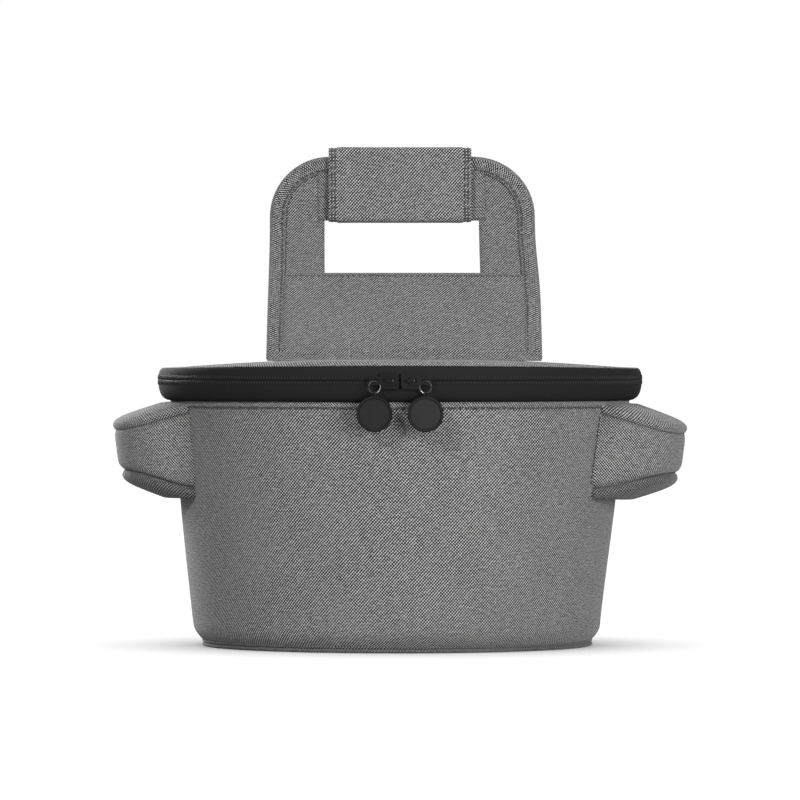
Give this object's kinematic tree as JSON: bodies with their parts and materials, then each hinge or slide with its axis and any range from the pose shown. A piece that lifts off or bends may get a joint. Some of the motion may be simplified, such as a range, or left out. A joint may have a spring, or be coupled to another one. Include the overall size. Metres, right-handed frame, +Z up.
{
  "type": "casserole carrier",
  "caption": "Round insulated casserole carrier with a zip-round lid on a fabric hinge, side pockets for the pot's ears and arched handles whose padded grips press together.",
  "frame": {"origin": "middle of the base panel's underside, where the bag stands", "axes": "+Z up, -Y toward the front where the zip sliders meet, +X toward the right-hand ear pocket"},
  "size_m": [0.346, 0.2958, 0.2984],
  "materials": {
    "twill": "grey twill",
    "zip_tape": "black woven tape",
    "zip_chain": "matt black coil",
    "metal": "satin black",
    "rubber": "matt black",
    "foam": "closed-cell foam",
    "board": "stiff plastic board",
    "lining": "wipe-clean lining",
    "hook_loop": "hook-and-loop tape"
  },
  "bodies": {
    "bag": {"base_panel": "twill", "base_piping": "twill", "base_board": "board", "base_foam": "foam", "floor_lining": "lining", "body_wall": "twill", "wall_foam": "foam", "wall_lining": "lining", "rim_hem": "twill", "zip_tape_lower": "zip_tape", "zip_chain_lower": "zip_chain", "hinge_leaf_lower": "twill", "left_ear_band": "twill", "left_ear_top": "twill", "left_ear_bottom": "twill", "left_ear_lining": "lining", "right_ear_band": "twill", "right_ear_top": "twill", "right_ear_bottom": "twill", "right_ear_lining": "lining"},
    "lid": {"lid_top": "twill", "lid_foam": "foam", "lid_lining": "lining", "zip_tape_upper": "zip_tape", "zip_chain_upper": "zip_chain", "hinge_leaf_upper": "twill"},
    "front_handle": {"front_handle_face": "twill", "front_handle_core": "foam", "front_handle_back": "twill", "front_handle_binding": "twill", "front_handle_patch": "twill", "front_handle_seam": "twill", "front_grip_cover": "twill", "front_grip_pad": "foam", "grip_hook_strip": "hook_loop"},
    "rear_handle": {"rear_handle_face": "twill", "rear_handle_core": "foam", "rear_handle_back": "twill", "rear_handle_binding": "twill", "rear_handle_patch": "twill", "rear_handle_seam": "twill", "rear_grip_cover": "twill", "rear_grip_pad": "foam", "grip_loop_strip": "hook_loop"},
    "left_slider": {"left_slider": "metal"},
    "left_tab": {"left_pull_tab": "metal", "left_jump_ring": "metal"},
    "left_pull": {"left_pull_disc": "rubber"},
    "right_slider": {"right_slider": "metal"},
    "right_tab": {"right_pull_tab": "metal", "right_jump_ring": "metal"},
    "right_pull": {"right_pull_disc": "rubber"}
  },
  "joints": [
    {"name": "lid_hinge", "type": "hinge", "parent": "bag", "child": "lid", "pos_m": [0, 0.145, 0.1592], "axis": [-1, 0, 0], "range_deg": [0, 115]},
    {"name": "front_handle_fold", "type": "hinge", "parent": "lid", "child": "front_handle", "pos_m": [0, -0.066, 0.1732], "axis": [1, 0, 0], "range_deg": [0, 105]},
    {"name": "rear_handle_fold", "type": "hinge", "parent": "lid", "child": "rear_handle", "pos_m": [0, 0.066, 0.1732], "axis": [-1, 0, 0], "range_deg": [0, 105]},
    {"name": "left_slider_travel", "type": "hinge", "parent": "bag", "child": "left_slider", "pos_m": [0, 0, 0.1592], "axis": [0, 0, -1], "range_deg": [0, 137]},
    {"name": "left_tab_flip", "type": "hinge", "parent": "left_slider", "child": "left_tab", "pos_m": [-0.00619, -0.14897, 0.1592], "axis": [0, 0, 1], "range_deg": [0, 55]},
    {"name": "left_pull_swing", "type": "hinge", "parent": "left_tab", "child": "left_pull", "pos_m": [-0.01478, -0.14861, 0.152], "axis": [-0.9231, -0.3846, 0], "range_deg": [0, 100]},
    {"name": "right_slider_travel", "type": "hinge", "parent": "bag", "child": "right_slider", "pos_m": [0, 0, 0.1592], "axis": [0, 0, 1], "range_deg": [0, 137]},
    {"name": "right_tab_flip", "type": "hinge", "parent": "right_slider", "child": "right_tab", "pos_m": [0.00619, -0.14897, 0.1592], "axis": [0, 0, -1], "range_deg": [0, 55]},
    {"name": "right_pull_swing", "type": "hinge", "parent": "right_tab", "child": "right_pull", "pos_m": [0.01478, -0.14861, 0.152], "axis": [-0.9231, 0.3846, 0], "range_deg": [0, 100]}
  ],
  "couplings": [
    {"joint": "left_pull_swing", "follows": "left_slider_travel", "ratio": 0.72},
    {"joint": "right_pull_swing", "follows": "right_slider_travel", "ratio": 0.72}
  ]
}
